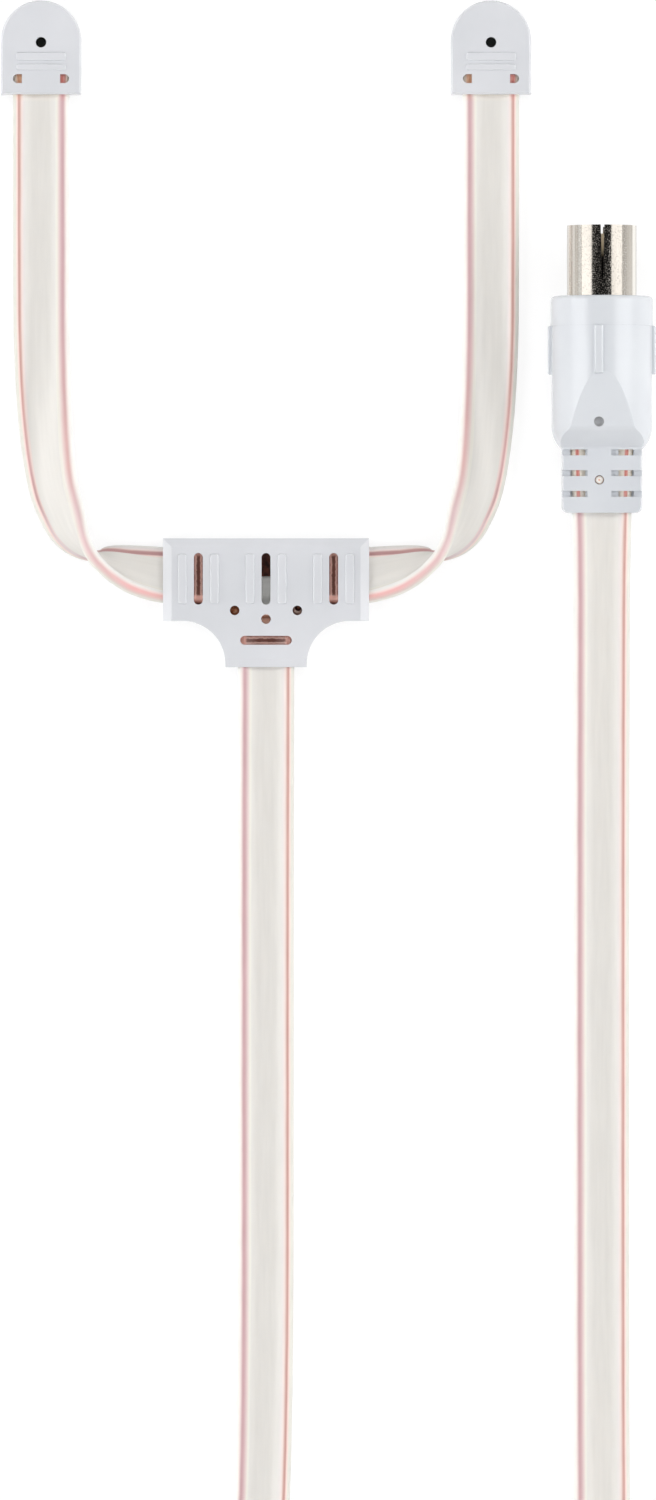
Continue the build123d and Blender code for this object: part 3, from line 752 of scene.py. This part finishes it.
def swelled_web():
    """The ribbon's cream insulation where it swells into the strain relief's hole, brown at the rim."""
    finish = Finish("swelled_web", 0.4)
    place = finish.place()
    x, y, _ = finish.parts_of(place)
    across = finish.sum("POWER", finish.sum("SUBTRACT", x, STRAIN_HOLE[0]), 2.0)
    along = finish.sum("POWER", finish.sum("SUBTRACT", y, STRAIN_HOLE[1]), 2.0)
    out = finish.sum("DIVIDE", finish.sum("SQRT", finish.sum("ADD", across, along)), STRAIN_HOLE_RADIUS)
    ragged = finish.sum("MULTIPLY", finish.sum("SUBTRACT", finish.grain(place, 1800.0, 3.0), 0.5), 0.5)
    colour = finish.tones(finish.sum("ADD", out, ragged), [
        (0.10, paint(236, 190, 170)), (0.30, paint(255, 250, 242)), (0.72, paint(254, 246, 236)),
        (0.90, paint(222, 190, 172)), (1.00, paint(196, 160, 140))])
    finish.wire(colour, "Base Color")
    finish.dents(finish.grain(place, 2500.0, 2.0), 0.1, 0.00004)
    finish.set(Subsurface_Weight=0.4, Subsurface_Radius=(1.0, 0.95, 0.9), Subsurface_Scale=0.001)
    return finish.material


def tie_cover():
    """White plastic drawn over the tie's wire."""
    finish = Finish("tie_cover", 0.5)
    place = finish.place()
    cloud = finish.grain(place, 350.0, 3.0)
    finish.wire(finish.tones(cloud, [(0.3, paint(222, 222, 219)), (0.7, paint(238, 238, 235))]), "Base Color")
    finish.dents(finish.grain(place, 3000.0, 2.0), 0.1, 0.00005)
    return finish.material


def web_swelling():
    """A low dome of the ribbon's insulation in the strain relief's hole."""
    bpy.ops.object.select_all(action="DESELECT")
    height = SWELLING_TOP - PLUG_Z
    bpy.ops.mesh.primitive_cylinder_add(vertices=32, radius=STRAIN_HOLE_RADIUS - SWELLING_GAP, depth=height,
                                        location=(*STRAIN_HOLE, PLUG_Z + height / 2))
    dome = bpy.context.object
    dome.name = "web_swelling"
    for face in dome.data.polygons:
        face.select = face.normal.z > 0.9
    for edge in dome.data.edges:
        edge.select = all(dome.data.vertices[index].co.z > 0 for index in edge.vertices)
    bpy.ops.object.mode_set(mode="EDIT")
    bpy.ops.mesh.bevel(offset=SWELLING_ROUNDING, segments=5, affect="EDGES")
    bpy.ops.object.mode_set(mode="OBJECT")
    bpy.ops.object.transform_apply(location=True, rotation=True, scale=True)
    bpy.ops.object.shade_smooth_by_angle(angle=radians(40))
    return dome


def twist_tie():
    """A flat tie with a wire down its middle: a loop round the gathered turns and a twisted tail."""
    inner_side = COIL_INNER_RADIUS + COIL_GATHER - BEAD_HEIGHT / 2 - TIE_CLEARANCE
    outer_side = COIL_OUTER_RADIUS + BEAD_HEIGHT / 2 + TIE_CLEARANCE
    width = outer_side - inner_side + TIE_THICKNESS
    height = RIBBON_WIDTH + 2 * TIE_CLEARANCE + TIE_THICKNESS
    bpy.ops.object.select_all(action="DESELECT")
    bpy.ops.mesh.primitive_cube_add(size=1.0, location=(0, 0, 0))
    loop = bpy.context.object
    loop.name = "twist_tie"
    bpy.ops.object.mode_set(mode="EDIT")
    bpy.ops.transform.resize(value=(width, TIE_WIDTH, height))
    bpy.ops.mesh.select_all(action="DESELECT")
    bpy.ops.object.mode_set(mode="OBJECT")
    for face in loop.data.polygons:
        face.select = abs(face.normal.y) > 0.9
    bpy.ops.object.mode_set(mode="EDIT")
    bpy.ops.mesh.select_mode(type="FACE")
    bpy.ops.mesh.delete(type="ONLY_FACE")
    bpy.ops.mesh.select_all(action="SELECT")
    bpy.ops.mesh.subdivide(number_cuts=5)
    bpy.ops.object.mode_set(mode="OBJECT")
    for edge in loop.data.edges:
        ends = [loop.data.vertices[index].co for index in edge.vertices]
        edge.select = all(abs(abs(end.x) - width / 2) < 1e-6 and abs(abs(end.z) - height / 2) < 1e-6
                          for end in ends)
    bpy.ops.object.mode_set(mode="EDIT")
    bpy.ops.mesh.select_mode(type="EDGE")
    bpy.ops.mesh.bevel(offset=TIE_BEND, segments=4, affect="EDGES")
    bpy.ops.object.mode_set(mode="OBJECT")
    ridge = loop.modifiers.new("thickness", "SOLIDIFY")
    ridge.thickness = TIE_THICKNESS
    ridge.offset = 0.0
    bpy.ops.object.modifier_apply(modifier="thickness")
    loop.location = ((inner_side + outer_side) / 2, 0, COIL_CENTRE.z)
    bpy.ops.object.transform_apply(location=True, rotation=True, scale=True)
    bpy.ops.object.select_all(action="DESELECT")
    start = outer_side + TIE_THICKNESS / 2
    bpy.ops.mesh.primitive_circle_add(vertices=10, radius=0.5, fill_type="NGON", rotation=(0, pi / 2, 0),
                                      location=(start, 0, TIE_TAIL_LEVEL))
    bpy.ops.object.mode_set(mode="EDIT")
    bpy.ops.transform.resize(value=(1.0, TIE_TAIL_WIDTH, TIE_TAIL_THICKNESS),
                             center_override=(start, 0, TIE_TAIL_LEVEL))
    for step in range(TIE_TWISTS):
        bpy.ops.mesh.extrude_region_move(
            TRANSFORM_OT_translate={"value": (TIE_TAIL_LENGTH / TIE_TWISTS, 0, 0)})
        reached = start + TIE_TAIL_LENGTH * (step + 1) / TIE_TWISTS
        bpy.ops.transform.rotate(value=TIE_TWIST, orient_axis="X",
                                 center_override=(reached, 0, TIE_TAIL_LEVEL))
    bpy.ops.mesh.select_all(action="SELECT")
    bpy.ops.mesh.normals_make_consistent(inside=False)
    bpy.ops.object.mode_set(mode="OBJECT")
    bpy.ops.object.transform_apply(location=True, rotation=True, scale=True)
    loop.select_set(True)
    bpy.context.view_layer.objects.active = loop
    bpy.ops.object.join()
    loop.rotation_euler = (0, 0, radians(TIE_ANGLE))
    loop.location = (COIL_CENTRE.x, COIL_CENTRE.y, 0)
    bpy.ops.object.transform_apply(location=True, rotation=True, scale=True)
    bpy.ops.object.shade_smooth_by_angle(angle=radians(50))
    return loop


def white_table():
    """A pale floor that shows white to the eye, the plating and clear parts, and keeps its shadows."""
    bpy.ops.object.select_all(action="DESELECT")
    bpy.ops.mesh.primitive_plane_add(size=TABLE_SIZE, location=(0, 0, TABLE_LEVEL))
    table = bpy.context.object
    table.name = "table"
    sheet = Finish("white_table", 0.8)
    spot = sheet.place()
    x, y, _ = sheet.parts_of(spot)
    paper = sheet.tones(sheet.grain(spot, 6.0), [(0.3, grey(0.94)), (0.7, grey(0.96))])
    ray = sheet.nodes.new("ShaderNodeLightPath").outputs
    seen = sheet.sum("MAXIMUM", sheet.sum("MAXIMUM", ray["Is Camera Ray"], ray["Is Glossy Ray"]),
                     ray["Is Transmission Ray"])
    under_cap = sheet.sum("MULTIPLY", within(sheet, sheet.sum("ABSOLUTE", x), *UNDER_CAP_X),
                          within(sheet, y, *UNDER_CAP_Y))
    sheet.wire(sheet.blend(seen, paper, grey(TABLE_SHADE)), "Base Color")
    sheet.set(Emission_Color=(1, 1, 1, 1))
    lit = sheet.sum("SUBTRACT", seen, sheet.sum("MULTIPLY", seen, under_cap))
    sheet.wire(sheet.sum("MULTIPLY", lit, TABLE_GLOW), "Emission Strength")
    table.data.materials.append(sheet.material)


def light_tent():
    """A world of pale cloth walls, dark straight above, with a white background for the camera."""
    world = bpy.data.worlds.new("light_tent")
    world.use_nodes = True
    nodes, links = world.node_tree.nodes, world.node_tree.links
    cloth = nodes["Background"]
    split = nodes.new("ShaderNodeSeparateXYZ")
    links.new(nodes.new("ShaderNodeTexCoord").outputs["Generated"], split.inputs["Vector"])
    wall = nodes.new("ShaderNodeValToRGB")
    steps = wall.color_ramp.elements
    while len(steps) < len(TENT_WALL):
        steps.new(0.5)
    for step, (height, brightness) in zip(steps, TENT_WALL):
        step.position = height
        step.color = grey(brightness)
    links.new(split.outputs["Z"], wall.inputs["Fac"])
    links.new(wall.outputs["Color"], cloth.inputs["Color"])
    sideways = nodes.new("ShaderNodeMath")
    sideways.operation = "POWER"
    sideways.inputs[1].default_value = 2.0
    links.new(split.outputs["X"], sideways.inputs[0])
    share = nodes.new("ShaderNodeMath")
    share.operation = "MULTIPLY_ADD"
    share.inputs[1].default_value = TENT_SIDEWAYS
    share.inputs[2].default_value = TENT_ALL_ROUND
    links.new(sideways.outputs["Value"], share.inputs[0])
    links.new(share.outputs["Value"], cloth.inputs["Strength"])
    backdrop = nodes.new("ShaderNodeBackground")
    backdrop.inputs["Color"].default_value = (1, 1, 1, 1)
    choice = nodes.new("ShaderNodeMixShader")
    links.new(nodes.new("ShaderNodeLightPath").outputs["Is Camera Ray"], choice.inputs["Fac"])
    links.new(cloth.outputs["Background"], choice.inputs[1])
    links.new(backdrop.outputs["Background"], choice.inputs[2])
    links.new(choice.outputs["Shader"], nodes["World Output"].inputs["Surface"])
    return world


def lamp_pair(name, aside, ahead, height, length, width, watts, for_gloss):
    """Two lamps on opposite sides of the antenna, aimed at its middle."""
    for side in (-1, 1):
        lamp = bpy.data.lights.new(name, "AREA")
        lamp.shape = "RECTANGLE"
        lamp.size = length
        lamp.size_y = width
        lamp.energy = watts
        holder = bpy.data.objects.new(name, lamp)
        holder.location = (PHOTO_CENTRE[0] + side * aside, PHOTO_CENTRE[1] + side * ahead, height)
        aim = Vector((*PHOTO_CENTRE, 0)) - holder.location
        holder.rotation_euler = aim.to_track_quat("-Z", "Y").to_euler()
        holder.visible_camera = False
        holder.visible_glossy = for_gloss
        holder.visible_diffuse = not for_gloss
        bpy.context.scene.collection.objects.link(holder)


def overhead_camera():
    """A camera straight above, with the photograph's frame."""
    eye = bpy.data.cameras.new("overhead")
    eye.sensor_width = SENSOR
    eye.lens = SENSOR * (CAMERA_HEIGHT - SHARP_LEVEL) / PHOTO_HEIGHT
    camera = bpy.data.objects.new("overhead", eye)
    camera.location = (*PHOTO_CENTRE, CAMERA_HEIGHT)
    bpy.context.scene.collection.objects.link(camera)
    return camera


ribbon = twin_lead()
left_arm, left_line = ribbon_piece("left_arm", LEFT_ARM)
right_arm, right_line = ribbon_piece("right_arm", RIGHT_ARM, crisp_left=True)
bridge, _ = ribbon_piece("dipole_bridge", BRIDGE, halved=True)
feeder_route = FEEDER_START + coil_turns() + exit_round() + FEEDER_END
feeder_middle = smooth_line([point[:3] for point in feeder_route])
under_tie = [index for index, point in enumerate(feeder_middle)
             if point.y < COIL_TOP_Y and abs(coil_angle(point) - radians(TIE_ANGLE)) < TIE_REACH]
feeder, feeder_line = ribbon_piece("feeder", feeder_route, swap_after=under_tie[len(under_tie) // 2],
                                   wound=True, run_from=ARM_RUN)
for piece, skin in ((left_arm, ribbon), (right_arm, ribbon), (bridge, dark_shade_web()), (feeder, ribbon)):
    piece.data.materials.append(skin)
    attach(piece, "root")
for piece in (left_arm, right_arm, bridge):
    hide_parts("dipole_ribbon")
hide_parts("feeder_ribbon", "feeder_coil", "plug_lead")
swelling = web_swelling()
swelling.data.materials.append(swelled_web())
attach(swelling, "root")
tie = twist_tie()
tie.data.materials.append(tie_cover())
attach(tie, "root")
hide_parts("coil_tie")

node = frame["nodes"]

WHITE = (paint(216, 218, 222), paint(225, 226, 230))
PLUG_WHITE = (paint(212, 215, 220), paint(221, 224, 228))
BROWNED_SOLDER = (paint(96, 52, 32), paint(168, 108, 72), paint(196, 164, 138))
PITTED_SOLDER = (paint(148, 120, 106), paint(188, 164, 150), paint(214, 198, 188))
finishes = {
    "junction_block": moulded_white("moulded_white_block", *WHITE, shaded_openings),
    "plug_body": moulded_white("moulded_white_plug", *PLUG_WHITE, shaded_dimple),
    "plug_insulator": cream_core(),
    "white_plastic": moulded_white("moulded_white_cap", *WHITE, shaded_nail_holes),
    "ribbon": ribbon,
    "tie": tie.data.materials[0],
    "nickel": bright_nickel(),
    "copper": bare_copper(),
    "junction_solder_right": flux_browned_solder("pitted_solder", PITTED_SOLDER, pitted=True),
    "solder": flux_browned_solder("flux_browned_solder", BROWNED_SOLDER),
}
for part in frame["record"]["subparts"]:
    solid = node[part["node"]]
    solid.data.materials.clear()
    solid.data.materials.append(finishes.get(part["node"], finishes[part["material_slot"]]))

scene = bpy.context.scene
white_table()
scene.world = light_tent()
for lamps in LAMPS:
    lamp_pair(*lamps)
scene.camera = overhead_camera()
scene.view_settings.view_transform = "Standard"
